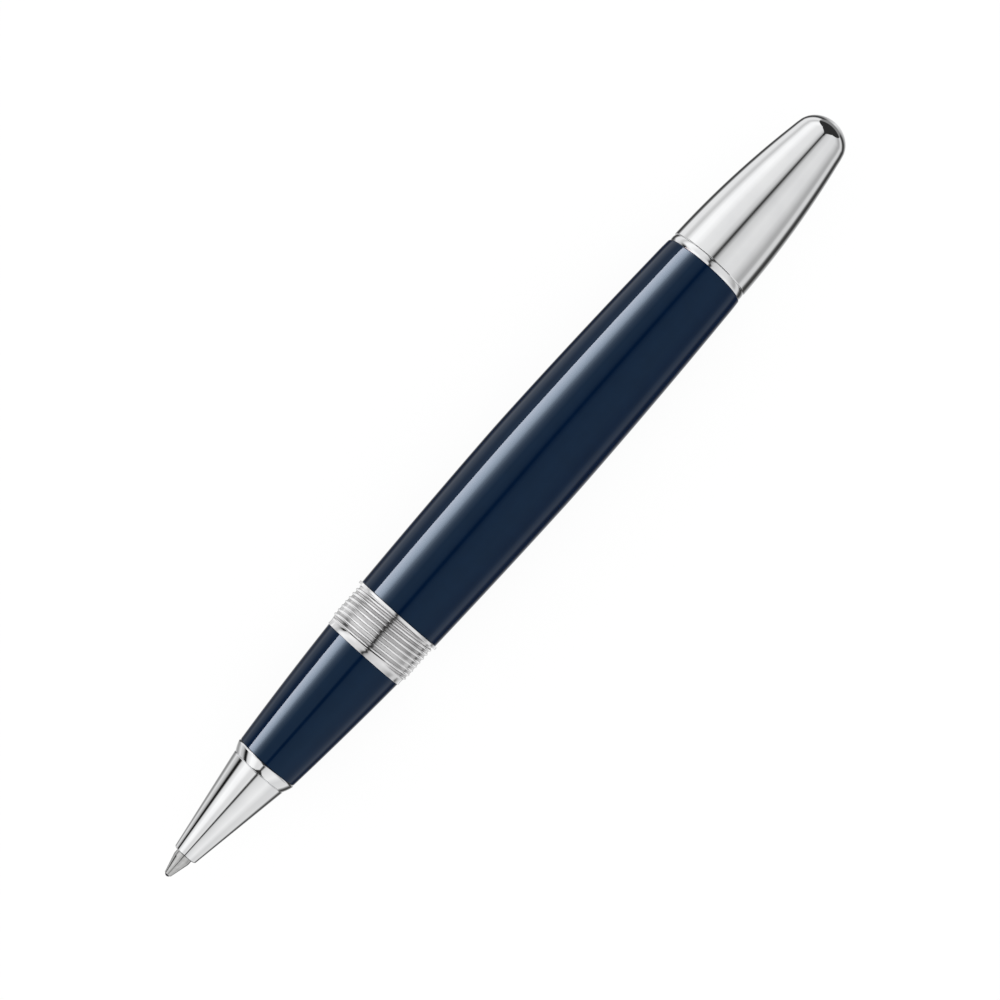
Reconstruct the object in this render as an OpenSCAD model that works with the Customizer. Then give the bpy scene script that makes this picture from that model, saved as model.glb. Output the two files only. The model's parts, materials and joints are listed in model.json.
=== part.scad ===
// Screw-barrel rollerball pen, lying along +X with its writing tip at -X.
// Every piece is turned about one common axis, so each module is drawn
// standing on +Z, measured from the writing tip, and laid down by lay().

/* [Lengths along the pen] */
// Writing tip that stands out of the nose cone
tip_len = 3.55; // [3.4:0.05:3.8]
// Bright nose cone
nose_len = 14.1; // [13.6:0.1:14.6]
// Flared trim ring behind the nose cone
nose_ring_len = 1.55; // [1.3:0.05:1.9]
// Glossy grip section
grip_len = 18.25; // [17.5:0.05:20]
// Threaded collar that the cap screws onto
collar_len = 6.75; // [6.5:0.05:7.5]
// Glossy barrel
barrel_len = 58.5; // [57:0.1:60]
// Trim ring at the rear of the barrel
end_ring_len = 1; // [0.9:0.05:1.2]
// Domed end cone
end_cone_len = 24.3; // [24:0.05:25]

/* [Outer radii] */
// Nose cone at its front edge
nose_front_r = 1.7; // [1.6:0.01:1.8]
// Nose cone where it meets the flared ring
nose_rear_r = 4.02; // [3.95:0.01:4.05]
// Grip section at its front
grip_front_r = 4.46; // [4.44:0.01:4.6]
// Grip section at its rear
grip_rear_r = 5.81; // [5.75:0.01:5.85]
// Height of the grip's outward curve
grip_bulge = 0.085; // [0.02:0.005:0.12]
// Plain band at the front of the collar
collar_band_r = 5.93; // [5.91:0.01:6]
// Rear flange of the collar
collar_flange_r = 6.46; // [6.4:0.01:6.5]
// Barrel at its front
barrel_front_r = 6.19; // [6.1:0.01:6.3]
// Barrel at its belly, which is a true cylinder
belly_r = 6.72; // [6.65:0.01:6.8]
// Barrel just before its rear shoulder
barrel_rear_r = 6.02; // [6:0.01:6.1]
// Rear trim ring
end_ring_r = 5.83; // [5.8:0.01:5.85]
// End cone at its front
end_cone_r = 5.87; // [5.84:0.01:5.9]
// Height of the end cone's outward curve
end_cone_bulge = 0.47; // [0.4:0.01:0.5]
// Oval dome that closes the end cone, at its base
dome_r = 3.7; // [3.65:0.01:3.75]
// Height of the oval dome
dome_height = 3.25; // [3:0.05:3.5]

/* [Belly of the barrel] */
// Start of the cylindrical belly, behind the barrel's front
belly_start = 24.3; // [23.5:0.1:25]
// Length of the cylindrical belly
belly_len = 4; // [3.5:0.1:4.5]
// Height of the front curve between barrel front and belly
barrel_front_bulge = 0.06; // [0.04:0.01:0.1]
// Height of the rear curve between belly and shoulder
barrel_rear_bulge = 0.11; // [0.05:0.01:0.14]

/* [Cap thread on the collar] */
// Number of thread starts
cap_starts = 3; // [2:1:4]
// Distance between neighbouring ridges
cap_ridge_pitch = 0.69; // [0.65:0.01:0.75]
// Radius at the bottom of the thread
cap_root_r = 5.94; // [5.9:0.01:5.97]
// Radius at the top of the thread
cap_crest_r = 6.18; // [6.12:0.01:6.22]

/* [Barrel thread on the tenon] */
// Distance between neighbouring ridges
barrel_pitch = 0.8; // [0.78:0.01:0.85]
// Number of turns that engage
barrel_turns = 7; // [6:1:7]
// Gap between the male and female threads
thread_gap = 0.15; // [0.12:0.01:0.16]

/* [Refill] */
// Overall length of the refill
refill_len = 110.5; // [110:0.1:110.8]
// Radius of the refill tube
refill_r = 3.1; // [3:0.05:3.15]
// Radius of the refill's steel tip
tip_r = 1.18; // [1.15:0.01:1.19]
// Radius of the writing ball
ball_r = 0.4; // [0.35:0.01:0.42]
// Radial play of the ball in its socket
ball_play = 0.02; // [0.02:0.005:0.03]

/* [Refill spring] */
// Radius of the spring wire
wire_r = 0.28; // [0.25:0.01:0.3]
// Radius of the coil, to the wire's centre
coil_r = 2.5; // [2.4:0.05:2.6]
// Number of turns, with one closed turn at each end
coil_turns = 7; // [6:1:8]

/* [Hidden] */

// Stations along the axis, measured from the writing tip
nose_z = tip_len;
nose_ring_z = nose_z + nose_len;
grip_z = nose_ring_z + nose_ring_len;
collar_z = grip_z + grip_len;
barrel_z = collar_z + collar_len;
end_ring_z = barrel_z + barrel_len;
end_cone_z = end_ring_z + end_ring_len;
end_z = end_cone_z + end_cone_len;

// Fits and walls shared by more than one piece
slip = 0.06;                 // running clearance around the steel tip
holder_r = 1.9;              // refill's plastic nose
holder_bore_r = holder_r + 0.09;
bush_z = nose_ring_z - 8.05; // front of the guide bush in the nose cone
bush_len = 2;
holder_z = bush_z + bush_len;
spigot_r = 3.3;              // nose cone's rear spigot
spigot_len = 8;
liner_r = 4.1;               // brass liner under the grip
liner_bore_r = 3.75;
section_bore_r = 3.3;        // way through the section for the refill
liner_end_z = barrel_z - 1.6;
barrel_liner_r = 5.35;
barrel_bore_r = 5;
connector_r = 4.3;           // threaded tube that joins barrel and end cone
connector_bore_r = 3.55;
connector_len = 16;
rear_bush_len = 7;
cone_cavity_r = 3.4;
cone_cavity_end = end_cone_z + 17.3;
tube_z = 27;                 // front of the refill tube
tube_end = refill_len - 1.5;
tube_bore_r = refill_r - 0.35;
wick_r = 0.6;
wick_z = 2.6;
wick_end = 34;
flange_len = 0.38;           // collar's rear flange
band_len = 0.85;             // collar's plain front band
groove = 0.12;               // fine grooves at the trim rings
tenon_root_r = 3.95;
tenon_crest_r = 4.35;
insert_root_r = tenon_crest_r + thread_gap;
insert_crest_r = tenon_root_r + thread_gap;
thread_len = barrel_pitch * barrel_turns;
thread_z = barrel_z + 1.7;   // start of the barrel thread
o_ring_z = barrel_z + 0.62;
o_ring_wire_r = 0.42;
o_ring_r = 4.2;
o_ring_bore_r = 4.7;         // counterbore over the O-ring
seat_z = cone_cavity_end - 1.2;

// The whole pen lies along +X with the middle of its length at the origin
module lay() {
    translate([-end_z / 2, 0, 0]) rotate([0, 90, 0]) children();
}

// Points of a shallow arc from p to q that stands out by bulge at its middle
function bow(p, q, bulge, n) = [
    for (i = [0 : n])
        let (t = i / n)
        [p[0] + (q[0] - p[0]) * t + 4 * bulge * t * (1 - t), p[1] + (q[1] - p[1]) * t]
];

// Points of an oval arc about height z on the axis, from angle a to angle b
function oval(z, r, height, a, b, n) = [
    for (i = [0 : n])
        let (t = a + (b - a) * i / n)
        [r * cos(t), z + height * sin(t)]
];

// Solid of revolution from an outline of [radius, height] points
module turned(outline) {
    rotate_extrude($fn = 96) polygon(outline);
}

// Plain tube between two heights
module tube(z1, z2, outer_r, inner_r) {
    turned([[inner_r, z1], [outer_r, z1], [outer_r, z2], [inner_r, z2]]);
}

// Faces of a closed strip of n rings with k points each
function ring_faces(n, k, flip) = [
    for (i = [0 : n - 2], j = [0 : k - 1])
        let (a = i * k + j, b = i * k + (j + 1) % k, c = a + k, d = b + k)
        each flip ? [[a, b, d], [a, d, c]] : [[a, d, b], [a, c, d]],
    [for (j = [0 : k - 1]) flip ? k - 1 - j : j],
    [for (j = [0 : k - 1]) (n - 1) * k + (flip ? j : k - 1 - j)]
];

// One helical ridge from a base radius to a crest radius; it sinks back
// towards its base over the last part of a turn at both ends
module ridge(base_r, crest_r, base_w, crest_w, lead, z, turns, start, steps) {
    n = ceil(turns * steps);
    fade = steps / 6;
    rings = [
        for (i = [0 : n])
            let (
                a = start + 360 * turns * i / n,
                h = z + lead * turns * i / n,
                f = max(0.2, min(1, i / fade, (n - i) / fade)),
                r = base_r + (crest_r - base_r) * f,
                w = base_w + (crest_w - base_w) * f
            )
            for (p = [[base_r, -base_w / 2], [r, -w / 2], [r, w / 2], [base_r, base_w / 2]])
                [p[0] * cos(a), p[0] * sin(a), h + p[1]]
    ];
    polyhedron(rings, ring_faces(n + 1, 4, crest_r > base_r), 3);
}

// Bright cone with a spigot for the grip liner and a bore for the refill
module nose_cone() {
    edge = 0.12;
    color([0.82, 0.83, 0.85]) lay() turned([
        [tip_r + slip, nose_z],
        [nose_front_r - edge, nose_z],
        [nose_front_r, nose_z + edge],
        [nose_rear_r, nose_ring_z - groove],
        [nose_rear_r - groove, nose_ring_z],
        [spigot_r, nose_ring_z],
        [spigot_r, nose_ring_z + spigot_len],
        [holder_bore_r, nose_ring_z + spigot_len],
        [holder_bore_r, bush_z],
        [tip_r + slip, bush_z]
    ]);
}

// Plastic bush that centres the steel tip and stops the refill
module tip_bush() {
    color([0.15, 0.15, 0.16]) lay() tube(bush_z, holder_z, holder_bore_r, tip_r + slip);
}

// Flared ring with a rounded edge, clamped between nose cone and grip
module nose_ring() {
    flare_r = grip_front_r + 0.07;
    front_r = nose_rear_r - 0.02;
    color([0.82, 0.83, 0.85]) lay() turned(concat(
        [[spigot_r, nose_ring_z]],
        bow([front_r, nose_ring_z], [flare_r, grip_z - 0.3], 0.04, 8),
        bow([flare_r, grip_z - 0.3], [grip_front_r - groove, grip_z], 0.05, 4),
        [[spigot_r, grip_z]]
    ));
}

// Glossy resin sleeve that the fingers hold
module grip_sleeve() {
    color([0.07, 0.11, 0.22]) lay() turned(concat(
        [[liner_r, grip_z]],
        bow([grip_front_r, grip_z], [grip_rear_r, collar_z], grip_bulge, 12),
        [[liner_r, collar_z]]
    ));
}

// Brass tube under the grip, narrower in front for the nose cone's spigot
module grip_liner() {
    step_z = nose_ring_z + spigot_len + 1.4;
    color([0.75, 0.6, 0.3]) lay() turned([
        [spigot_r, grip_z],
        [liner_r, grip_z],
        [liner_r, liner_end_z],
        [liner_bore_r, liner_end_z],
        [liner_bore_r, step_z],
        [spigot_r, step_z]
    ]);
}

// Bright collar with a plain band, the cap's thread and a rear flange
module thread_collar() {
    flange_z = barrel_z - flange_len;
    thread_start = collar_z + band_len + 0.2;
    thread_end = flange_z - 0.25;
    land_r = cap_crest_r + 0.03;   // keeps the flange's face clear of the ridges
    root_z = collar_z + band_len + 0.1;
    root_bulge = 0.02;             // the band is the collar's only plain cylinder
    lead = cap_starts * cap_ridge_pitch;
    turns = (thread_end - thread_start) / lead;
    color([0.82, 0.83, 0.85]) lay() {
        difference() {
            union() {
                turned(concat(
                    [
                        [liner_r, collar_z],
                        [collar_band_r - 0.06, collar_z],
                        [collar_band_r, collar_z + 0.06],
                        [collar_band_r, collar_z + band_len]
                    ],
                    bow([cap_root_r, root_z], [cap_root_r, flange_z - 0.2], root_bulge, 4),
                    [
                        [land_r, flange_z - 0.1],
                        [land_r, flange_z],
                        [collar_flange_r - 0.05, flange_z],
                        [collar_flange_r, flange_z + 0.05],
                        [collar_flange_r, barrel_z - 0.05],
                        [collar_flange_r - 0.05, barrel_z],
                        [liner_r, barrel_z]
                    ]
                ));
                for (k = [0 : cap_starts - 1])
                    ridge(cap_root_r - 0.12, cap_crest_r, 0.52, 0.1, lead,
                        thread_start, turns, 360 * k / cap_starts, 36);
            }
            translate([0, 0, liner_end_z])
                cylinder(r = tenon_crest_r, h = 2, $fn = 96);
        }
    }
}

// Brass tenon: spigot in the liner, O-ring groove, male thread and pilot
module section_tenon() {
    o_groove_z = o_ring_z - o_ring_wire_r - 0.04;
    o_groove_end = o_ring_z + o_ring_wire_r + 0.04;
    o_groove_r = o_ring_r - o_ring_wire_r - 0.04;
    pilot_r = tenon_root_r - 0.05;
    pilot_z = thread_z + thread_len + 0.1;
    pilot_end = pilot_z + 1.4;
    color([0.75, 0.6, 0.3]) lay() {
        turned([
            [section_bore_r, liner_end_z - 6],
            [liner_bore_r, liner_end_z - 6],
            [liner_bore_r, liner_end_z],
            [tenon_crest_r, liner_end_z],
            [tenon_crest_r, o_groove_z],
            [o_groove_r, o_groove_z],
            [o_groove_r, o_groove_end],
            [tenon_crest_r, o_groove_end],
            [tenon_crest_r, thread_z - 0.3],
            [tenon_root_r, thread_z - 0.3],
            [tenon_root_r, pilot_z],
            [pilot_r, pilot_z + 0.1],
            [pilot_r, pilot_end - 0.3],
            [pilot_r - 0.3, pilot_end],
            [section_bore_r, pilot_end]
        ]);
        ridge(tenon_root_r - 0.12, tenon_crest_r, 0.46, 0.14, barrel_pitch,
            thread_z + 0.1, barrel_turns - 0.2, 0, 32);
    }
}

// Rubber ring in the tenon's groove, which the barrel turns with it
module o_ring() {
    color([0.08, 0.08, 0.08]) lay() translate([0, 0, o_ring_z])
        rotate_extrude($fn = 96) translate([o_ring_r, 0]) circle(r = o_ring_wire_r, $fn = 32);
}

// Glossy resin barrel: front curve, cylindrical belly, rear curve and shoulder
module barrel_shell() {
    belly_z = barrel_z + belly_start;
    belly_end = belly_z + belly_len;
    shoulder_z = end_ring_z - 1.2;
    rim_z = end_ring_z - 0.12;
    color([0.07, 0.11, 0.22]) lay() turned(concat(
        [[barrel_liner_r, barrel_z]],
        [[barrel_front_r - 0.05, barrel_z]],
        bow([barrel_front_r, barrel_z + 0.05], [belly_r, belly_z], barrel_front_bulge, 12),
        bow([belly_r, belly_end], [barrel_rear_r, shoulder_z], barrel_rear_bulge, 16),
        bow([barrel_rear_r, shoulder_z], [barrel_rear_r - 0.08, rim_z], 0.005, 4),
        [[end_ring_r + 0.02, end_ring_z]],
        [[barrel_liner_r, end_ring_z]]
    ));
}

// Brass tube under the barrel's resin shell
module barrel_liner() {
    color([0.75, 0.6, 0.3]) lay()
        tube(barrel_z, end_ring_z, barrel_liner_r, barrel_bore_r);
}

// Brass nut in the front of the barrel that screws onto the tenon
module barrel_thread_insert() {
    open_z = barrel_z + 1.35;
    insert_end = thread_z + thread_len + 1.6;
    color([0.75, 0.6, 0.3]) lay() {
        turned([
            [o_ring_bore_r, barrel_z],
            [barrel_bore_r, barrel_z],
            [barrel_bore_r, insert_end],
            [insert_root_r, insert_end],
            [insert_root_r, open_z],
            [o_ring_bore_r, open_z]
        ]);
        ridge(insert_root_r + 0.12, insert_crest_r, 0.46, 0.14, barrel_pitch,
            thread_z + 0.1 + barrel_pitch / 2, barrel_turns - 1.2, 0, 32);
    }
}

// Brass bush in the rear of the barrel that takes the cone's connector
module barrel_rear_bush() {
    color([0.75, 0.6, 0.3]) lay()
        tube(end_ring_z - rear_bush_len, end_ring_z, barrel_bore_r, connector_r);
}

// Bright crowned ring between the barrel's shoulder and the end cone
module barrel_end_ring() {
    crown = 0.1;
    edge_r = end_ring_r - crown;
    color([0.82, 0.83, 0.85]) lay() turned(concat(
        [[connector_r, end_ring_z]],
        bow([edge_r, end_ring_z], [edge_r, end_cone_z], crown, 10),
        [[connector_r, end_cone_z]]
    ));
}

// Hollow bright cone that ends in a spherical dome
module end_cone() {
    join_angle = 9;   // where the dome takes over from the long curve
    dome_z = end_z - dome_height;
    join = [dome_r * cos(join_angle), dome_z + dome_height * sin(join_angle)];
    color([0.82, 0.83, 0.85]) lay() turned(concat(
        [[connector_r, end_cone_z], [end_cone_r - groove, end_cone_z]],
        bow([end_cone_r, end_cone_z + groove], join, end_cone_bulge, 16),
        oval(dome_z, dome_r, dome_height, join_angle + 8, 90, 12),
        [
            [0, cone_cavity_end],
            [cone_cavity_r, cone_cavity_end],
            [cone_cavity_r, end_ring_z - rear_bush_len + connector_len],
            [connector_r, end_ring_z - rear_bush_len + connector_len]
        ]
    ));
}

// Threaded brass tube that holds the end cone to the barrel
module cone_connector() {
    front_z = end_ring_z - rear_bush_len;
    color([0.75, 0.6, 0.3]) lay()
        tube(front_z, front_z + connector_len, connector_r, connector_bore_r);
}

// Plastic cup and post that the spring stands on
module spring_seat() {
    post_r = coil_r - wire_r - 0.25;
    color([0.15, 0.15, 0.16]) lay() turned([
        [0, seat_z - 2],
        [post_r - 0.3, seat_z - 2],
        [post_r, seat_z - 1.6],
        [post_r, seat_z],
        [cone_cavity_r, seat_z],
        [cone_cavity_r, cone_cavity_end],
        [0, cone_cavity_end]
    ]);
}

// Compression spring behind the refill, with one closed turn at each end
module refill_spring() {
    steps = 24;
    sides = 8;
    n = coil_turns * steps;
    first = refill_len + wire_r + 0.02;
    last = seat_z - wire_r - 0.02;
    closed = 2 * wire_r + 0.02;
    open_pitch = (last - first - 2 * closed) / (coil_turns - 2);
    function wire_height(t) =
        first + closed * min(t, 1)
        + open_pitch * max(0, min(t - 1, coil_turns - 2))
        + closed * max(0, t - coil_turns + 1);
    rings = [
        for (i = [0 : n], j = [0 : sides - 1])
            let (
                t = i / steps,
                a = 360 * t,
                b = 360 * j / sides,
                r = coil_r + wire_r * cos(b)
            )
            [r * cos(a), r * sin(a), wire_height(t) + wire_r * sin(b)]
    ];
    color([0.7, 0.71, 0.73]) lay() polyhedron(rings, ring_faces(n + 1, sides, false), 3);
}

// Steel tip: cone with the ball's socket, ink channel and plain shank
module refill_tip() {
    lip_z = ball_r * 0.7;
    lip_r = ball_r + 0.08;
    cone_z = 2.88;
    shank_end = holder_z + 3.4;
    channel_r = 0.22;
    color([0.6, 0.61, 0.62]) lay() difference() {
        turned([
            [0, lip_z],
            [lip_r, lip_z],
            [tip_r, cone_z],
            [tip_r, shank_end],
            [0, shank_end]
        ]);
        translate([0, 0, ball_r]) sphere(r = ball_r + ball_play, $fn = 48);
        translate([0, 0, ball_r]) cylinder(r = channel_r, h = wick_z, $fn = 32);
        translate([0, 0, wick_z]) cylinder(r = wick_r, h = shank_end, $fn = 32);
    }
}

// Plastic nose of the refill, which grips the shank and plugs the tube
module refill_tip_holder() {
    shank_end = holder_z + 3.4;
    color([0.12, 0.12, 0.13]) lay() turned([
        [tip_r, holder_z],
        [holder_r, holder_z],
        [holder_r, tube_z - 1.3],
        [refill_r, tube_z - 0.9],
        [refill_r, tube_z],
        [tube_bore_r, tube_z],
        [tube_bore_r, tube_z + 3],
        [wick_r, tube_z + 3],
        [wick_r, shank_end],
        [tip_r, shank_end]
    ]);
}

// Fibre rod that draws ink from the reservoir to the ball
module feed_wick() {
    color([0.85, 0.85, 0.88]) lay() translate([0, 0, wick_z])
        cylinder(r = wick_r, h = wick_end - wick_z, $fn = 32);
}

// Outer tube of the refill
module refill_tube() {
    color([0.2, 0.2, 0.22]) lay() tube(tube_z, tube_end, refill_r, tube_bore_r);
}

// Fibre reservoir soaked with ink, bored in front for the wick
module ink_reservoir() {
    front_z = tube_z + 3.1;
    rear_z = tube_end - 2.5;
    rod_r = tube_bore_r - 0.05;
    color([0.1, 0.15, 0.5]) lay() difference() {
        translate([0, 0, front_z]) cylinder(r = rod_r, h = rear_z - front_z, $fn = 64);
        translate([0, 0, front_z - 1])
            cylinder(r = wick_r, h = wick_end - front_z + 1, $fn = 32);
    }
}

// Vented plug that closes the rear of the refill
module refill_end_plug() {
    vent_r = 0.4;
    color([0.12, 0.15, 0.3]) lay() turned([
        [vent_r, tube_end - 2.2],
        [tube_bore_r, tube_end - 2.2],
        [tube_bore_r, tube_end],
        [refill_r, tube_end],
        [refill_r, refill_len - 0.2],
        [refill_r - 0.2, refill_len],
        [vent_r, refill_len]
    ]);
}

// Hard ball that rolls in the tip's socket
module writing_ball() {
    color([0.25, 0.25, 0.27]) lay() translate([0, 0, ball_r]) sphere(r = ball_r, $fn = 48);
}

nose_cone();
tip_bush();
nose_ring();
grip_sleeve();
grip_liner();
thread_collar();
section_tenon();
o_ring();
barrel_shell();
barrel_liner();
barrel_thread_insert();
barrel_rear_bush();
barrel_end_ring();
end_cone();
cone_connector();
spring_seat();
refill_spring();
refill_tip();
refill_tip_holder();
feed_wick();
refill_tube();
ink_reservoir();
refill_end_plug();
writing_ball();
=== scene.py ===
"""Looks of a screw-barrel rollerball pen that lies along X with its writing tip at -X."""

import functools
import json
import math

import bpy
import numpy as np
from mathutils import Matrix, Vector

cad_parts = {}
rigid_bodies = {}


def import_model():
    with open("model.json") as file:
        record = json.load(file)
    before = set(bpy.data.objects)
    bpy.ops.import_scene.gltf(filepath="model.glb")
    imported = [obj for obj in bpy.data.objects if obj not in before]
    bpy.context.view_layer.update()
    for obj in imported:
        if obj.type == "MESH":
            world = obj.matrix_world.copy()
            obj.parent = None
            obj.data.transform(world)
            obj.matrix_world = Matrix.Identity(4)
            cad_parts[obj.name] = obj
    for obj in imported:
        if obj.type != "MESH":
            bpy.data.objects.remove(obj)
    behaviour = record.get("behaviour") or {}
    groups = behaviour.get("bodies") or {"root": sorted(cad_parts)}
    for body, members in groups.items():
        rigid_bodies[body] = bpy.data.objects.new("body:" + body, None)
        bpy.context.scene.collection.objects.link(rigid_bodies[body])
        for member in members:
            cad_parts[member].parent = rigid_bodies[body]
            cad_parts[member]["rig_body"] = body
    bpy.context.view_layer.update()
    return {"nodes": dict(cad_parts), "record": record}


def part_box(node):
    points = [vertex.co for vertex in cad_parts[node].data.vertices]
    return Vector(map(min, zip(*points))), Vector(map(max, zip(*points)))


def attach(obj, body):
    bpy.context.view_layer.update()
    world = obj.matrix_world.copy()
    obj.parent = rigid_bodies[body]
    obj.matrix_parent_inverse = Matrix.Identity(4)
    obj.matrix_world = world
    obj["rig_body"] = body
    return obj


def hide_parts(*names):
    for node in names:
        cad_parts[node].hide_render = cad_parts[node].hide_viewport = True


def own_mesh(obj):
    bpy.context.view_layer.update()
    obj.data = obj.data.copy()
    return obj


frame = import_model()

MM = 0.001
AROUND = 288            # segments around a turned piece
CORNER = math.radians(12)   # a sharper turn in an outline is an edge
STRAIGHT = 0.0008       # a smaller turn, in radians, isn't a bend
SAME = 1e-6             # points closer than this, in metres, are one
EDGE_R = 0.04 * MM      # radius of an edge
EDGE_STEPS = 4          # points in a rounded edge
BEND_STEPS = 4          # points in each stretch of a bend
EDGE_SHARE = 0.4        # most of a stretch's length that a rounded edge may take


# ---------------------------------------------------------------- outlines

def points_of(node):
    """Places of a CAD node's vertices."""
    return np.array([v.co for v in frame["nodes"][node].data.vertices], float)


def seam_edges(node):
    """Points and edges of a turned CAD node that lie in the half plane below its axis."""
    co = points_of(node)
    keys, points, same = {}, [], []
    for p in co:
        k = tuple(np.round(p / SAME * 2).astype(int))
        if k not in keys:
            keys[k] = len(points)
            points.append((p[0], math.hypot(p[1], p[2])))
        same.append(keys[k])
    seam = (np.abs(co[:, 1]) < SAME) & (co[:, 2] <= SAME)
    edges = set()
    for e in frame["nodes"][node].data.edges:
        a, b = e.vertices
        if seam[a] and seam[b] and same[a] != same[b]:
            edges.add((min(same[a], same[b]), max(same[a], same[b])))
    return points, edges


def outline(node):
    """Cross-section of a turned CAD node as ordered (x, radius) points, and whether it is closed.
    An outline that isn't closed starts and ends on the axis."""
    points, edges = seam_edges(node)
    near = {}
    for a, b in edges:
        near.setdefault(a, []).append(b)
        near.setdefault(b, []).append(a)
    ends = sorted(k for k, v in near.items() if len(v) == 1)
    start = ends[0] if ends else min(near)
    path, last, here = [start], None, start
    while True:
        onward = [k for k in near[here] if k != last]
        if not onward or onward[0] == start:
            break
        last, here = here, onward[0]
        path.append(here)
    line = [np.array(points[k]) for k in path]
    closed = not ends
    ring = line + [line[0]]
    area = sum(a[0] * b[1] - b[0] * a[1] for a, b in zip(ring, ring[1:]))
    if area < 0:
        line.reverse()
    return without_straight(line, closed), closed


def turn(a, b, c):
    """Angle by which the line a, b, c bends at b."""
    d1, d2 = b - a, c - b
    return abs(math.atan2(d1[0] * d2[1] - d1[1] * d2[0], float(d1 @ d2)))


def without_straight(line, closed):
    """The same outline without points that lie on a straight run."""
    n = len(line)
    return [
        line[i]
        for i in range(n)
        if (not closed and i in (0, n - 1))
        or turn(line[i - 1], line[i], line[(i + 1) % n]) > STRAIGHT
    ]


def unit(v):
    return v / max(np.linalg.norm(v), 1e-12)


def hermite(p, q, tp, tq, n):
    """n points from p towards q along a cubic, each with its direction."""
    size = np.linalg.norm(q - p)
    made = []
    for i in range(n):
        t = i / n
        at = ((2 * t**3 - 3 * t**2 + 1) * p + (3 * t**2 - 2 * t**3) * q
              + size * ((t**3 - 2 * t**2 + t) * tp + (t**3 - t**2) * tq))
        along = ((6 * t**2 - 6 * t) * (p - q)
                 + size * ((3 * t**2 - 4 * t + 1) * tp + (3 * t**2 - 2 * t) * tq))
        made.append((at, unit(along)))
    return made


def curve_run(run):
    """Smooth points with directions through one run of an outline between two edges."""
    if len(run) == 2:
        d = unit(run[1] - run[0])
        return [(run[0], d), (run[1], d)]
    tangents = []
    for i, p in enumerate(run):
        before = unit(p - run[i - 1]) if i else None
        after = unit(run[i + 1] - p) if i + 1 < len(run) else None
        if before is None or after is None:
            tangents.append(after if before is None else before)
            continue
        la, lb = np.linalg.norm(p - run[i - 1]), np.linalg.norm(run[i + 1] - p)
        tangents.append(unit(before * lb + after * la))
    tangents[0] = unit(2 * unit(run[1] - run[0]) - tangents[1])
    tangents[-1] = unit(2 * unit(run[-1] - run[-2]) - tangents[-2])
    made = []
    for p, q, tp, tq in zip(run, run[1:], tangents, tangents[1:]):
        bent = abs(tp[0] * tq[1] - tp[1] * tq[0]) > STRAIGHT
        made += hermite(p, q, tp, tq, BEND_STEPS if bent else 1)
    return made + [(run[-1], tangents[-1])]


def rounded(line, closed, edge_r):
    """Outline points with directions: bends become smooth curves and edges get a small radius."""
    n = len(line)
    corners = [
        i for i in range(n)
        if (closed or 0 < i < n - 1)
        and turn(line[i - 1], line[i], line[(i + 1) % n]) > CORNER
    ]
    if closed:
        line = line[corners[0]:] + line[:corners[0]]
        corners = [(i - corners[0]) % n for i in corners] + [n]
        line = line + [line[0]]
    stops = sorted(set([0, len(line) - 1] + corners))
    made = []
    for a, b in zip(stops, stops[1:]):
        run = [np.array(p) for p in line[a:b + 1]]
        for end, inward, is_corner in ((0, 1, a in corners or closed),
                                       (-1, -2, b in corners or closed)):
            if is_corner:
                span = run[inward] - run[end]
                run[end] = run[end] + unit(span) * min(edge_r, EDGE_SHARE * np.linalg.norm(span))
        piece = curve_run(run)
        if made:
            made += around_corner(made[-1], piece[0], line[a])
        made += piece
    if closed:
        made += around_corner(made[-1], made[0], line[0])
    return made


def around_corner(start, end, corner):
    """Points with directions inside a rounded edge, between its two ends."""
    a, b, c = start[0], end[0], np.array(corner)
    made = []
    for i in range(1, EDGE_STEPS):
        t = i / EDGE_STEPS
        at = (1 - t) ** 2 * a + 2 * t * (1 - t) * c + t * t * b
        made.append((at, unit((1 - t) * (c - a) + t * (b - c))))
    return made


# ---------------------------------------------------------------- meshes

ANGLES = np.arange(AROUND) * 2 * math.pi / AROUND


def link_new(name, data):
    """New object in the scene."""
    obj = bpy.data.objects.new(name, data)
    bpy.context.scene.collection.objects.link(obj)
    return obj


def grid_object(name, rings, normals, wrap_rings):
    """Mesh of closed rings of points, with given normals. A ring on the axis is one point."""
    verts, norms, index = [], [], []
    for ring, nring in zip(rings, normals):
        if np.hypot(ring[:, 1], ring[:, 2]).max() < SAME / 10:
            index.append([len(verts)] * len(ring))
            verts.append(ring[0])
            norms.append(unit(nring.mean(0)))
        else:
            index.append(list(range(len(verts), len(verts) + len(ring))))
            verts += list(ring)
            norms += list(nring)
    faces = []
    pairs = list(zip(index, index[1:])) + ([(index[-1], index[0])] if wrap_rings else [])
    for low, high in pairs:
        k = len(low)
        for j in range(k):
            quad = [low[j], low[(j + 1) % k], high[(j + 1) % k], high[j]]
            face = list(dict.fromkeys(quad))
            if len(face) > 2:
                faces.append(face)
    mesh = bpy.data.meshes.new(name)
    mesh.from_pydata([tuple(v) for v in verts], [], faces)
    mesh.polygons.foreach_set("use_smooth", [True] * len(faces))
    mesh.normals_split_custom_set_from_vertices([tuple(v) for v in norms])
    mesh.update()
    return link_new(name, mesh)


def turned_rings(profile):
    """Rings of points about X and their normals, from (point, direction) pairs of an outline."""
    s, c = np.sin(ANGLES), np.cos(ANGLES)
    rings, normals = [], []
    for (x, r), (dx, dr) in profile:
        rings.append(np.column_stack([np.full(AROUND, x), r * s, r * c]))
        normals.append(np.column_stack([np.full(AROUND, dr), -dx * s, -dx * c]))
    return rings, normals


def finish_piece(obj, body, node, material):
    obj.data.materials.append(material)
    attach(obj, body)
    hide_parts(node)
    return obj


def turned_piece(name, node, body, material):
    """Finely turned, soft-edged stand-in for a turned CAD node."""
    line, closed = outline(node)
    rings, normals = turned_rings(rounded(line, closed, EDGE_R))
    return finish_piece(grid_object(name, rings, normals, closed), body, node, material)


# ---------------------------------------------------------------- collar

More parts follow.
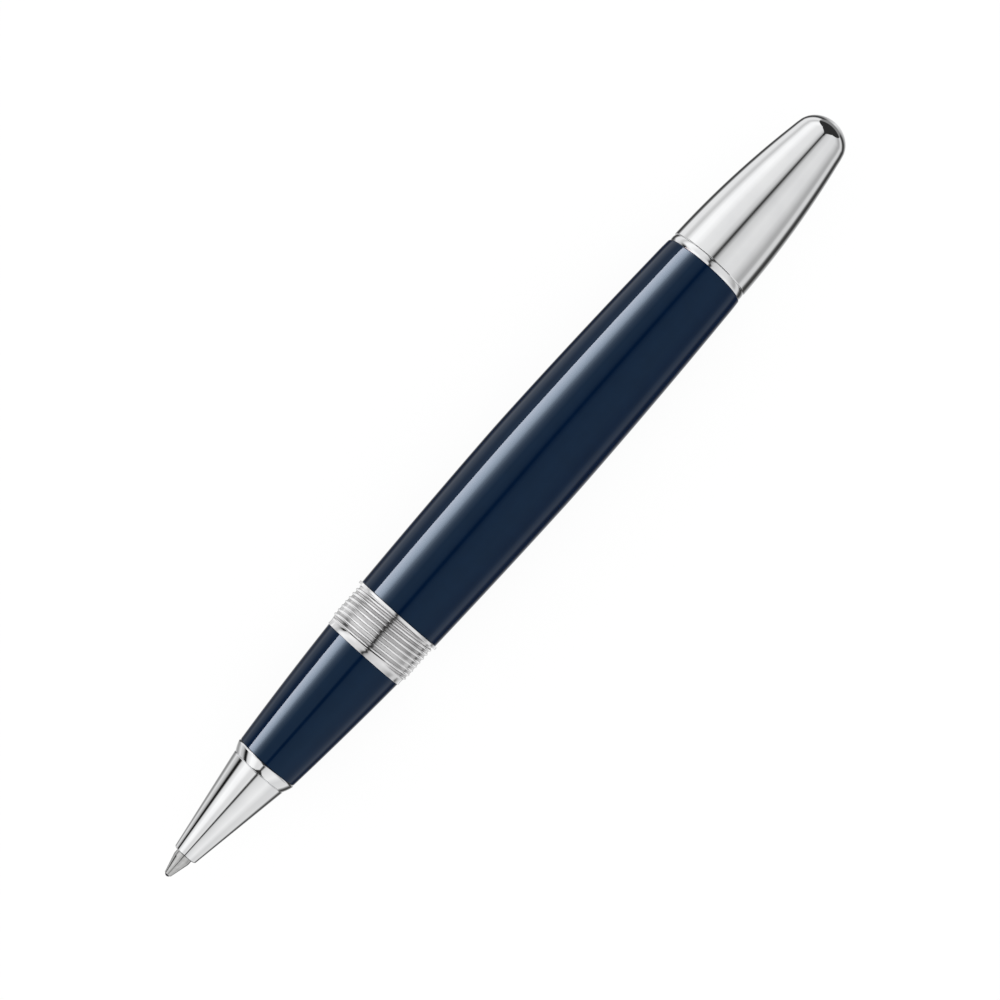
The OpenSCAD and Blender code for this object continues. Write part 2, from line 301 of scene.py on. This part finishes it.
THREAD_STARTS = 3
RIDGE_PITCH = 0.69 * MM
RIDGE_PHASE = 0.45      # where the thread starts around the collar, in ridges
RIDGE_STEPS = 20        # points along the pen for each ridge
RIDGE_SQUARE = 1.3      # how flat the crests and valleys are: the flanks get steeper as it grows
RIDGE_RUNOUT = 0.2 * MM     # length in which the thread fades out at each end
RIDGE_INSET = 0.06 * MM     # from the band and from the flange to the thread
COLLAR_EDGE_R = 0.05 * MM
CLEAR = 0.3 * MM        # from an edge to where the plain thread is measured
NEAR = 0.01 * MM        # points within this are on a face
BORE_CLEAR = 0.2 * MM   # an outline point this far outside the bore isn't in it


def mount(name):
    return next(m for m in frame["record"]["mounts"] if m["name"] == name)


def collar_sizes():
    """Stations and radii of the collar, read from its CAD mesh and its mounts."""
    low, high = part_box("thread_collar")
    co = points_of("thread_collar")
    x, radius = co[:, 0], np.hypot(co[:, 1], co[:, 2])
    band = mount("cap_band")
    band_r = band["dims"]["r_mm"] * MM
    band_end = band["pos_m"][0] + band["dims"]["length_mm"] * MM / 2
    face = mount("cap_stop")["pos_m"][0]
    thread = (x > band_end + CLEAR) & (x < face - CLEAR) & (radius > band_r - CLEAR)
    return {
        "front": low[0], "rear": high[0], "flange_r": high[2], "face": face,
        "band_r": band_r, "band_end": band_end,
        "start": band_end + RIDGE_INSET, "end": face - RIDGE_INSET,
        "root_r": radius[thread].min(), "crest_r": radius[thread].max(),
        "bore_r": radius[x < low[0] + NEAR].min(), "back_bore_r": radius[x > high[0] - NEAR].min(),
    }


def ridge_height(x, angle, start, end):
    """Height of the cap thread, 0 to 1, at stations x and one angle. It fades out at both ends."""
    phase = (x - start) / RIDGE_PITCH + THREAD_STARTS * angle / (2 * math.pi) + RIDGE_PHASE
    swing = np.tanh(RIDGE_SQUARE * np.cos(2 * math.pi * phase)) / math.tanh(RIDGE_SQUARE)
    fade = np.clip(np.minimum(x - start, end - x) / RIDGE_RUNOUT, 0, 1)
    return (0.5 + 0.5 * swing) * fade * fade * (3 - 2 * fade)


def thread_rings(k):
    """Rings and normals of the cap thread, from the flange to the band."""
    xs = np.linspace(k["start"], k["end"], int((k["end"] - k["start"]) / RIDGE_PITCH * RIDGE_STEPS))
    height = np.array([ridge_height(xs, a, k["start"], k["end"]) for a in ANGLES]).T
    radii = k["root_r"] + (k["crest_r"] - k["root_r"]) * height
    slope = np.gradient(radii, xs, axis=0)
    wrapped = np.pad(radii, ((0, 0), (1, 1)), mode="wrap")
    twist = np.gradient(wrapped, axis=1)[:, 1:-1] / (ANGLES[1] - ANGLES[0])
    s, c = np.sin(ANGLES), np.cos(ANGLES)
    rings, normals = [], []
    for x, r, along, around in reversed(list(zip(xs, radii, -slope, -twist / radii))):
        size = np.sqrt(1 + along**2 + around**2)[:, None]
        rings.append(np.column_stack([np.full(AROUND, x), r * s, r * c]))
        normals.append(np.column_stack([along, s + around * c, c - around * s]) / size)
    return rings, normals


def collar_outline(k):
    """Section of the collar with a plain stretch where its thread goes."""
    return [np.array(p) for p in (
        (k["rear"], k["back_bore_r"]), (k["rear"], k["flange_r"]), (k["face"], k["flange_r"]),
        (k["face"], k["root_r"]), (k["end"], k["root_r"]), (k["start"], k["root_r"]),
        (k["band_end"], k["band_r"]), (k["front"], k["band_r"]), (k["front"], k["bore_r"]),
    )]


def on_root(point, k):
    """Whether an outline point lies on the thread's root."""
    (x, r), (dx, dr) = point
    return dx < 0 and k["start"] - SAME < x < k["end"] + SAME and abs(r - k["root_r"]) < NEAR


def on_band(point, k):
    """Whether an outline point lies on the plain band, within its radius and outside the bore."""
    (x, r), (dx, dr) = point
    return dx < 0 and x < k["end"] and k["bore_r"] + BORE_CLEAR < r < k["band_r"]


def collar(name, body):
    """Bright collar: plain band, rounded cap thread and a rear flange. The thread joins the outline on
    the band. The outline's own bends run on under it as a core, which fills the valleys a little."""
    k = collar_sizes()
    profile = rounded(collar_outline(k), True, COLLAR_EDGE_R)
    joint = next(i for i, point in enumerate(profile) if on_band(point, k))
    stretches = [
        turned_rings([point for point in profile[:joint] if not on_root(point, k)]),
        thread_rings(k),
        turned_rings(profile[joint:]),
    ]
    rings, normals = (sum((stretch[i] for stretch in stretches), []) for i in (0, 1))
    material = threaded_plate(k["root_r"], k["crest_r"], k["band_end"])
    return finish_piece(grid_object(name, rings, normals, True), body, "thread_collar", material)


# ---------------------------------------------------------------- spring

COIL_TURNS = 7
COIL_STEPS = 48         # points in each turn
WIRE_SIDES = 16
COIL_GAP = 0.02 * MM    # between the closed turns


def coil_centre(turns, first, last, wire_r):
    """Place along the pen of the wire's centre: one closed turn at each end and open turns between."""
    closed = 2 * wire_r + COIL_GAP
    pitch = (last - first - 2 * closed) / (COIL_TURNS - 2)
    at_ends = np.clip(turns, 0, 1) + np.clip(turns - COIL_TURNS + 1, 0, 1)
    return first + closed * at_ends + pitch * np.clip(turns - 1, 0, COIL_TURNS - 2)


def wire_object(name, rings):
    """Mesh of a swept wire with flat ends, from rings of points along it."""
    count, sides = len(rings), len(rings[0])
    faces = []
    for i in range(count - 1):
        here, onward = i * sides, (i + 1) * sides
        for j in range(sides):
            after = (j + 1) % sides
            faces.append((here + j, onward + j, onward + after, here + after))
    last = (count - 1) * sides
    ends = [tuple(range(sides)), tuple(range(last + sides - 1, last - 1, -1))]
    mesh = bpy.data.meshes.new(name)
    mesh.from_pydata([tuple(v) for v in np.concatenate(rings)], [], faces + ends)
    mesh.polygons.foreach_set("use_smooth", [True] * len(faces) + [False] * len(ends))
    mesh.update()
    return link_new(name, mesh)


def coil_rings(first, last, coil_r, wire_r):
    """Rings of points along the spring's wire, whose centre runs from first to last along the pen."""
    around = np.arange(WIRE_SIDES) * 2 * math.pi / WIRE_SIDES
    r = coil_r + wire_r * np.cos(around)
    rings = []
    for step in range(COIL_TURNS * COIL_STEPS + 1):
        turns = step / COIL_STEPS
        x = coil_centre(turns, first, last, wire_r) + wire_r * np.sin(around)
        a = 2 * math.pi * turns
        rings.append(np.column_stack([x, r * math.cos(a), r * math.sin(a)]))
    return rings


def coil_spring(name, body, slot):
    """Refill spring of round wire."""
    low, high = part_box("refill_spring")
    co = points_of("refill_spring")
    radius = np.hypot(co[:, 1], co[:, 2])
    coil_r, wire_r = (radius.max() + radius.min()) / 2, (radius.max() - radius.min()) / 2
    rings = coil_rings(low[0] + wire_r, high[0] - wire_r, coil_r, wire_r)
    obj = finish_piece(wire_object(name, rings), body, "refill_spring", LOOKS[slot])
    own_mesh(obj)


# ---------------------------------------------------------------- materials

class Nodes:
    """Adds nodes to a node tree and links them."""

    def __init__(self, tree):
        self.tree = tree
        tree.nodes.clear()

    def add(self, kind, inputs=None, **settings):
        node = self.tree.nodes.new(kind)
        for key, value in settings.items():
            setattr(node, key, value)
        for key, value in (inputs or {}).items():
            self.put(node.inputs[key], value)
        return node

    def put(self, socket, value):
        if isinstance(value, bpy.types.NodeSocket):
            self.tree.links.new(value, socket)
        else:
            socket.default_value = value

    def math(self, operation, a, b=0.0):
        node = self.add("ShaderNodeMath", operation=operation)
        self.put(node.inputs[0], a)
        self.put(node.inputs[1], b)
        return node.outputs[0]

    def spread(self, value, low, high, to_low, to_high, smooth=False):
        """Maps value from low..high to to_low..to_high."""
        kind = "SMOOTHSTEP" if smooth else "LINEAR"
        node = self.add("ShaderNodeMapRange", interpolation_type=kind)
        for i, v in enumerate((value, low, high, to_low, to_high)):
            self.put(node.inputs[i], v)
        return node.outputs[0]

    def ramp(self, value, stops):
        """Colour ramp with (place, colour) stops."""
        node = self.add("ShaderNodeValToRGB", {"Fac": value})
        ramp = node.color_ramp
        while len(ramp.elements) < len(stops):
            ramp.elements.new(0.5)
        for element, (place, colour) in zip(ramp.elements, stops):
            element.position = place
            element.color = (*colour, 1)
        return node.outputs["Color"]

    def noise(self, vector, scale, detail=3.0, rough=0.5):
        inputs = {"Vector": vector, "Scale": scale, "Detail": detail, "Roughness": rough}
        return self.add("ShaderNodeTexNoise", inputs).outputs["Fac"]

    def brightness(self, colour):
        return self.add("ShaderNodeSeparateColor", {0: colour}).outputs[0]


class Look(Nodes):
    """One procedural material, in the piece's own coordinates in millimetres."""

    def __init__(self, name, **constants):
        self.material = bpy.data.materials.new(name)
        self.material.use_nodes = True
        super().__init__(self.material.node_tree)
        out = self.add("ShaderNodeOutputMaterial")
        self.shader = self.add("ShaderNodeBsdfPrincipled")
        self.tree.links.new(self.shader.outputs[0], out.inputs["Surface"])
        for key, value in constants.items():
            self.shader.inputs[key.replace("_", " ")].default_value = value
        place = self.add("ShaderNodeTexCoord").outputs["Object"]
        scaled = self.add("ShaderNodeVectorMath", {0: place, "Scale": 1 / MM}, operation="SCALE")
        self.mm = scaled.outputs[0]

    def around(self, along_scale, around_scale):
        """Coordinates unrolled round the pen: length along it, and angle, each with its own scale."""
        parts = self.add("ShaderNodeSeparateXYZ", {0: self.mm}).outputs
        angle = self.math("ARCTAN2", parts[1], parts[2])
        joined = self.add("ShaderNodeCombineXYZ", {
            0: self.math("MULTIPLY", parts[0], along_scale),
            1: self.math("MULTIPLY", angle, around_scale),
        })
        return joined.outputs[0]

    def colour(self, value, dark, light):
        self.put(self.shader.inputs["Base Color"], self.ramp(value, [(0.3, dark), (0.7, light)]))

    def gloss(self, value, low, high):
        self.put(self.shader.inputs["Roughness"], self.spread(value, 0.3, 0.7, low, high))

    def bump(self, height, depth_mm):
        inputs = {"Strength": 1.0, "Distance": depth_mm * MM, "Height": height}
        node = self.add("ShaderNodeBump", inputs)
        self.put(self.shader.inputs["Normal"], node.outputs[0])


PLATE_MARK = 0.0004     # depth of the plating's polishing marks, in millimetres


def plate_noise(look):
    """Faint cloudiness and fine lengthwise polishing marks of the plating."""
    return look.noise(look.mm, 0.35), look.noise(look.around(0.25, 90.0), 1.0, 4.0, 0.6)


def bright_plate():
    """Polished bright plating: soft haze, fine lengthwise polishing marks and a faint cloudiness."""
    look = Look("bright_plate", Metallic=1.0)
    cloud, marks = plate_noise(look)
    look.colour(cloud, (0.86, 0.865, 0.875), (0.90, 0.905, 0.91))
    both = look.math("ADD", look.math("MULTIPLY", cloud, 0.6), look.math("MULTIPLY", marks, 0.4))
    look.gloss(both, 0.03, 0.075)
    look.bump(marks, PLATE_MARK)
    return look.material


BAND_SHADE_AND_POLISH = 0.76      # the plain band's level in the mask of polish and painted shade, where the thread's crests have 1


def ridge_shade_and_polish(look, root_r, crest_r, band_end):
    """Height of the collar's thread, from 0 in its valleys to 1 on its crests, with the band at a set
    level: it drives the polish and the painted shade and highlights.
    """
    across = look.add("ShaderNodeVectorMath", {0: look.mm, 1: (0.0, 1.0, 1.0)}, operation="MULTIPLY")
    radius = look.add("ShaderNodeVectorMath", {0: across.outputs[0]}, operation="LENGTH")
    valley, crest = root_r / MM - 0.005, crest_r / MM - 0.03
    height = look.spread(radius.outputs["Value"], valley, crest, 0.0, 1.0)
    along = look.add("ShaderNodeSeparateXYZ", {0: look.mm}).outputs[0]
    on_band = look.math("LESS_THAN", along, band_end / MM + 0.1)
    return look.math("MAXIMUM", height, look.math("MULTIPLY", on_band, BAND_SHADE_AND_POLISH))


def threaded_plate(root_r, crest_r, band_end):
    """The same plating on the collar, polished on its band and crests and dull in its valleys, with
    painted shade on the thread's flanks and painted highlights on its crests and valley floors.
    """
    look = Look("threaded_plate", Metallic=1.0)
    cloud, marks = plate_noise(look)
    # polish holds the thread's height, which drives both the roughness and the painted shade and
    # highlights
    polish = ridge_shade_and_polish(look, root_r, crest_r, band_end)
    shade_and_polish = look.math("ADD", polish, look.spread(cloud, 0.3, 0.7, -0.04, 0.04))
    # Base colour from the thread's height: painted highlights on the crests and valley floors, painted
    # shade on the flanks
    look.put(look.shader.inputs["Base Color"], look.ramp(shade_and_polish, [
        (0.08, (0.80, 0.795, 0.80)), (0.24, (0.46, 0.455, 0.46)), (0.55, (0.50, 0.495, 0.50)),
        (0.85, (0.93, 0.93, 0.935))]))
    look.put(look.shader.inputs["Roughness"], look.spread(shade_and_polish, 0.0, 1.0, 0.12, 0.05))
    look.bump(marks, PLATE_MARK)
    return look.material


def navy_resin():
    """Deep navy resin with a high polish, a faint depth in its colour and hairline polishing marks."""
    look = Look("navy_resin", IOR=1.36, Specular_Tint=(0.5, 0.8, 1.0, 1.0))
    depth = look.noise(look.mm, 0.5, 4.0)
    marks = look.noise(look.around(8.0, 60.0), 1.0, 3.0)
    look.colour(depth, (0.0006, 0.0068, 0.0265), (0.0010, 0.0084, 0.0310))
    look.gloss(marks, 0.02, 0.05)
    look.bump(look.noise(look.mm, 0.9, 1.0), 0.0008)
    return look.material


def brass():
    """Turned brass: fine rings of the tool and a patchy warm tarnish."""
    look = Look("brass", Metallic=1.0)
    rings = look.noise(look.around(14.0, 0.6), 1.0, 3.0)
    tarnish = look.noise(look.mm, 0.8, 5.0)
    look.colour(tarnish, (0.50, 0.33, 0.12), (0.83, 0.62, 0.30))
    look.gloss(look.math("MAXIMUM", rings, tarnish), 0.18, 0.42)
    look.bump(rings, 0.004)
    return look.material


def moulded(name, dark, light, grain_mm=0.004, low=0.38, high=0.55):
    """Moulded plastic with a fine satin grain."""
    look = Look(name, IOR=1.5)
    look.colour(look.noise(look.mm, 1.4, 4.0), dark, light)
    grain = look.noise(look.mm, 16.0, 2.0)
    look.gloss(grain, low, high)
    look.bump(grain, grain_mm)
    return look.material


def tip_steel():
    """Turned nickel silver of the refill's tip: close tool rings and a grey satin surface."""
    look = Look("tip_steel", Metallic=1.0)
    rings = look.noise(look.around(22.0, 0.8), 1.0, 3.0)
    cloud = look.noise(look.mm, 2.2, 4.0)
    look.colour(cloud, (0.50, 0.50, 0.495), (0.62, 0.62, 0.615))
    look.gloss(rings, 0.07, 0.14)
    look.bump(rings, 0.006)
    return look.material


def spring_steel():
    """Drawn wire with faint die lines and a dull sheen."""
    look = Look("spring_steel", Metallic=1.0)
    lines = look.noise(look.around(3.0, 24.0), 1.0, 3.0)
    look.colour(look.noise(look.mm, 1.2), (0.42, 0.42, 0.43), (0.62, 0.62, 0.63))
    look.gloss(lines, 0.22, 0.38)
    look.bump(lines, 0.003)
    return look.material


def fibre(name, dark, light):
    """Bundled fibres that run along the pen."""
    look = Look(name, IOR=1.45)
    strands = look.noise(look.around(0.8, 60.0), 1.0, 3.0)
    look.colour(strands, dark, light)
    look.gloss(strands, 0.7, 0.95)
    look.bump(strands, 0.02)
    return look.material


def ball_carbide():
    """Lapped hard ball with a film of ink in its pores."""
    look = Look("ball_carbide", Metallic=1.0)
    pores = look.noise(look.mm, 14.0, 4.0)
    look.colour(pores, (0.10, 0.10, 0.11), (0.24, 0.24, 0.25))
    look.gloss(pores, 0.12, 0.30)
    look.bump(pores, 0.002)
    return look.material


LOOKS = {
    "bright_plate": bright_plate(),
    "navy_resin": navy_resin(),
    "brass": brass(),
    "black_plastic": moulded("black_plastic", (0.012, 0.012, 0.013), (0.030, 0.030, 0.032)),
    "seal_rubber": moulded("seal_rubber", (0.008, 0.008, 0.008), (0.022, 0.022, 0.022),
                           grain_mm=0.008, low=0.6, high=0.8),
    "refill_plastic": moulded("refill_plastic", (0.020, 0.022, 0.030), (0.045, 0.048, 0.062),
                              grain_mm=0.003, low=0.25, high=0.4),
    "spring_steel": spring_steel(),
    "tip_steel": tip_steel(),
    "wick_fibre": fibre("wick_fibre", (0.55, 0.55, 0.58), (0.85, 0.85, 0.88)),
    "ink_fibre": fibre("ink_fibre", (0.010, 0.018, 0.11), (0.030, 0.050, 0.28)),
    "ball_carbide": ball_carbide(),
}


# ---------------------------------------------------------------- build

SLOTS = {node: obj.data.materials[0].name.split(".")[0] for node, obj in frame["nodes"].items()}
TURNED = ["nose_cone", "nose_ring", "grip_sleeve", "barrel_shell", "barrel_end_ring", "end_cone",
          "refill_tip", "writing_ball"]


def body_of(node):
    return frame["nodes"][node]["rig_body"]


def finish_of(node):
    return bpy.data.objects[node + "_finish"]


def build_pen():
    """Fine pieces for what can be seen or changes shape, and a material for every CAD node kept."""
    for node in TURNED:
        turned_piece(node + "_finish", node, body_of(node), LOOKS[SLOTS[node]])
    collar("thread_collar_finish", body_of("thread_collar"))
    coil_spring("refill_spring_finish", body_of("refill_spring"), SLOTS["refill_spring"])
    for node, obj in frame["nodes"].items():
        if not obj.hide_render:
            obj.data.materials.clear()
            obj.data.materials.append(LOOKS[SLOTS[node]])


# ---------------------------------------------------------------- studio

SKY_PEAK = 1.1          # brightest part of the light tent, relative to white
GAP_DRIFT = math.radians(3.2)   # the gap overhead isn't quite parallel to the pen
GAP_SPAN = (-0.2, 0.08)     # slopes along the pen between which the gap drifts from side to side
TENT_SPAN = (-0.32, 0.06)   # slopes along the pen between which the tip's tent gives way to the end's
BELOW_SPAN = (-0.14, -0.22)     # slopes down between which the dark past the tent turns to the floor
PAST_TENT, PAST_FLOOR = 0.03, 0.26      # brightness past the tent's ends, above and below

# Brightness of the tent round the pen, as (degrees from the gap overhead, brightness)
TENT = {
    "tip, +Y": [
        (0, 0.05), (3, 0.06), (5, 0.44), (8, 0.84), (16, 0.78), (28, 0.80), (40, 1.03), (58.5, 1.09),
        (65, 0.96), (78, 0.76), (81, 0.50), (84, 0.13), (86.5, 0.01), (95, 0.01), (97.5, 0.10),
        (101, 0.30), (108, 0.57), (116, 0.64), (125, 0.84), (135, 0.54), (145, 0.33), (157, 0.43),
        (170, 0.7), (180, 0.9)],
    "tip, -Y": [
        (0, 0.05), (2.4, 0.07), (4.5, 0.40), (7, 0.68), (18, 0.78), (55, 0.93), (83, 0.74),
        (110, 0.76), (120, 0.80), (126, 0.5), (131, 0.25), (138, 0.06), (147, 0.05), (156, 0.2),
        (168, 0.5), (180, 0.9)],
    "end, +Y": [
        (0, 0.04), (2.1, 0.07), (5.5, 0.38), (10, 0.64), (22, 0.83), (46, 0.87), (52, 0.94),
        (66, 1.06), (79, 1.04), (88, 0.83), (95, 0.63), (102, 0.69), (110, 0.87), (128, 0.88),
        (132, 0.5), (136, 0.2), (143, 0.04), (151, 0.05), (158, 0.25), (166.5, 0.5), (180, 0.8)],
    "end, -Y": [
        (0, 0.04), (2, 0.10), (4.8, 0.35), (8, 0.50), (13, 0.68), (36, 0.81), (61, 0.78), (75, 0.64),
        (89.5, 0.45), (97.6, 0.46), (106.5, 0.71), (116, 0.72), (121, 0.5), (126, 0.16), (131, 0.06),
        (142, 0.04), (150, 0.20), (160, 0.45), (180, 0.8)],
}
# How far the tent reaches towards each end of the pen, in degrees of lean, as stretches of
# (degrees from overhead at their start and end, lean at their start and end), which add up
REACH = {"tip": [(0, 22, 52, 59.5)], "end": [(0, 17, 34, 49), (17, 40, 0, 9)]}


def tent_ramp(sky, angle, stops):
    """Brightness round the pen from (degrees from overhead, brightness) stops."""
    share = sky.math("DIVIDE", angle, math.pi)
    colour = sky.ramp(share, [(d / 180, (v / SKY_PEAK,) * 3) for d, v in stops])
    return sky.math("MULTIPLY", sky.brightness(colour), SKY_PEAK)


def blend(sky, a, b, share):
    """Value that goes from a to b as share goes from 0 to 1."""
    kept = sky.math("MULTIPLY", a, sky.math("SUBTRACT", 1.0, share))
    return sky.math("ADD", kept, sky.math("MULTIPLY", b, share))


def tent_glow(sky, along, angle, is_left):
    """Brightness of the tent, by place along the pen, angle from the gap and side."""
    to_end = sky.spread(along, *TENT_SPAN, 0.0, 1.0, True)
    right, left = (
        blend(sky, *(tent_ramp(sky, angle, TENT[f"{end}, {side}"]) for end in ("tip", "end")), to_end)
        for side in ("-Y", "+Y")
    )
    return blend(sky, right, left, is_left)


def tent_reach(sky, angle, end):
    """Lean at which the tent stops towards one end."""
    stretches = [sky.spread(angle, *map(math.radians, stretch)) for stretch in REACH[end]]
    return functools.reduce(lambda a, b: sky.math("ADD", a, b), stretches)


def past_tent(sky, along, angle):
    """1 where a direction leans past the tent's end and 0 inside it."""
    lean = sky.math("ARCSINE", sky.math("ABSOLUTE", along))
    to_rear = sky.math("GREATER_THAN", along, 0.0)
    limit = blend(sky, tent_reach(sky, angle, "tip"), tent_reach(sky, angle, "end"), to_rear)
    return sky.spread(sky.math("SUBTRACT", lean, limit), -0.02, 0.02, 0.0, 1.0, True)


def studio():
    """White surroundings for the floor and the eye, and a light tent along the pen for its reflections,
    with a narrow gap overhead and dark ends."""
    world = bpy.data.worlds.new("studio")
    bpy.context.scene.world = world
    world.use_nodes = True
    sky = Nodes(world.node_tree)
    way = sky.add("ShaderNodeTexCoord").outputs["Generated"]
    along, aside, up = sky.add("ShaderNodeSeparateXYZ", {0: way}).outputs
    drift = sky.spread(along, *GAP_SPAN, -GAP_DRIFT, GAP_DRIFT)
    signed = sky.math("SUBTRACT", sky.math("ARCTAN2", aside, up), drift)
    angle = sky.math("ABSOLUTE", signed)
    tent = tent_glow(sky, along, angle, sky.math("GREATER_THAN", signed, 0.0))
    beyond = sky.spread(up, *BELOW_SPAN, PAST_TENT, PAST_FLOOR, True)
    mirror = blend(sky, tent, beyond, past_tent(sky, along, angle))
    glossy = sky.add("ShaderNodeLightPath").outputs["Is Glossy Ray"]
    strength = blend(sky, 1.0, mirror, glossy)
    back = sky.add("ShaderNodeBackground", {"Color": (1, 1, 1, 1), "Strength": strength})
    sky.add("ShaderNodeOutputWorld", {"Surface": back.outputs[0]})
    world.cycles.sampling_method = "NONE"


PANEL_AWAY = 0.5        # metres from the pen to the upright panels
PANEL_LENGTH = 1.6
BOX_TINT = (1.30, 1.0, 0.97)
KICKER_TINT = (1, 1, 1)
# Brightness of each panel from its one edge to its other, as (degrees from overhead, brightness)
BOX = [(82.9, 18.6), (74, 18.2), (67, 16.4), (60, 12.4), (53.5, 5.3), (47, 2.0), (41, 0.8),
       (35, 0.3), (31, 0.0)]
KICKER = [(124, 0.0), (130, 0.35), (138, 0.62), (150, 0.66), (160, 0.5)]


def panel_glow(light, heights, stops):
    """Brightness down an upright panel, as a share of its peak."""
    low, high, peak = min(heights), max(heights), max(v for d, v in stops)
    light.use_nodes = True
    glow = Nodes(light.node_tree)
    place = glow.add("ShaderNodeNewGeometry").outputs["Parametric"]
    down = glow.add("ShaderNodeSeparateXYZ", {0: place}).outputs[1]
    share = sorted(((high - h) / (high - low), (v / peak,) * 3) for h, (d, v) in zip(heights, stops))
    lit = glow.add("ShaderNodeEmission", {"Strength": 1.0, "Color": glow.ramp(down, share)})
    glow.add("ShaderNodeOutputLight", {"Surface": lit.outputs[0]})


def panel(name, side, stops, tint, nodes):
    """Upright panel on the pen's +Y (1) or -Y (-1) side that only the pieces of the given nodes see."""
    heights = [PANEL_AWAY / math.tan(math.radians(d)) for d, v in stops]
    low, high = min(heights), max(heights)
    light = bpy.data.lights.new(name, "AREA")
    light.shape = "RECTANGLE"
    light.size, light.size_y = PANEL_LENGTH, high - low
    light.color = tint
    light.energy = max(v for d, v in stops) * math.pi * PANEL_LENGTH * (high - low)
    panel_glow(light, heights, stops)
    obj = link_new(name, light)
    facing = Matrix.Rotation(0 if side > 0 else math.pi, 4, "Z") @ Matrix.Rotation(-math.pi / 2, 4, "X")
    obj.matrix_world = Matrix.Translation((0, side * PANEL_AWAY, (low + high) / 2)) @ facing
    obj.visible_camera = False
    obj.visible_diffuse = False
    seen_by = bpy.data.collections.new("seen_by_" + name)
    for node in nodes:
        seen_by.objects.link(finish_of(node))
    obj.light_linking.receiver_collection = seen_by


FLOOR_HALF = 3.0        # metres from the middle of the floor to its edges
FLOOR_GLOW = 0.93       # the floor's own pale tone
FLOOR_SHADE = 0.08      # how much of the light it takes on top, which gives the faint shadow


def floor(height):
    """Plain pale floor that takes only a faint contact shadow."""
    square = ((-1, -1), (1, -1), (1, 1), (-1, 1))
    corners = [(x * FLOOR_HALF, y * FLOOR_HALF, height) for x, y in square]
    mesh = bpy.data.meshes.new("floor")
    mesh.from_pydata(corners, [], [(0, 1, 2, 3)])
    obj = link_new("floor", mesh)
    material = bpy.data.materials.new("floor")
    material.use_nodes = True
    paper = Nodes(material.node_tree)
    glow = paper.add("ShaderNodeEmission", {"Color": (1, 1, 1, 1), "Strength": FLOOR_GLOW})
    matt = paper.add("ShaderNodeBsdfDiffuse", {"Color": (FLOOR_SHADE,) * 3 + (1,)})
    both = paper.add("ShaderNodeAddShader", {0: glow.outputs[0], 1: matt.outputs[0]})
    paper.add("ShaderNodeOutputMaterial", {"Surface": both.outputs[0]})
    mesh.materials.append(material)
    obj.visible_glossy = False
    obj.visible_diffuse = False
    obj.visible_shadow = False


CAMERA_PLACE = Vector((-13.2, 0, 381)) * MM
CAMERA_AIM = Vector((-0.45, 0, 0)) * MM
CAMERA_ROLL = math.radians(48.4)
LENS, SENSOR = 108, 36  # millimetres


def camera():
    """Looks down on the lying pen, which runs up to the right in the picture."""
    ahead = (CAMERA_AIM - CAMERA_PLACE).normalized()
    right = ahead.cross(Vector((math.sin(CAMERA_ROLL), math.cos(CAMERA_ROLL), 0))).normalized()
    up = right.cross(ahead)
    data = bpy.data.cameras.new("camera")
    data.lens, data.sensor_width = LENS, SENSOR
    data.clip_start, data.clip_end = 0.01, 20
    obj = link_new("camera", data)
    turned = Matrix((right, up, -ahead)).transposed().to_4x4()
    obj.matrix_world = Matrix.Translation(CAMERA_PLACE) @ turned
    bpy.context.scene.camera = obj


build_pen()
studio()
panel("soft_box", 1, BOX, BOX_TINT, ["grip_sleeve", "barrel_shell"])
panel("left_kicker", 1, KICKER, KICKER_TINT, ["thread_collar"])
panel("right_kicker", -1, KICKER, KICKER_TINT, ["thread_collar"])
floor(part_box("barrel_shell")[0][2])
camera()
bpy.context.scene.view_settings.view_transform = "Standard"
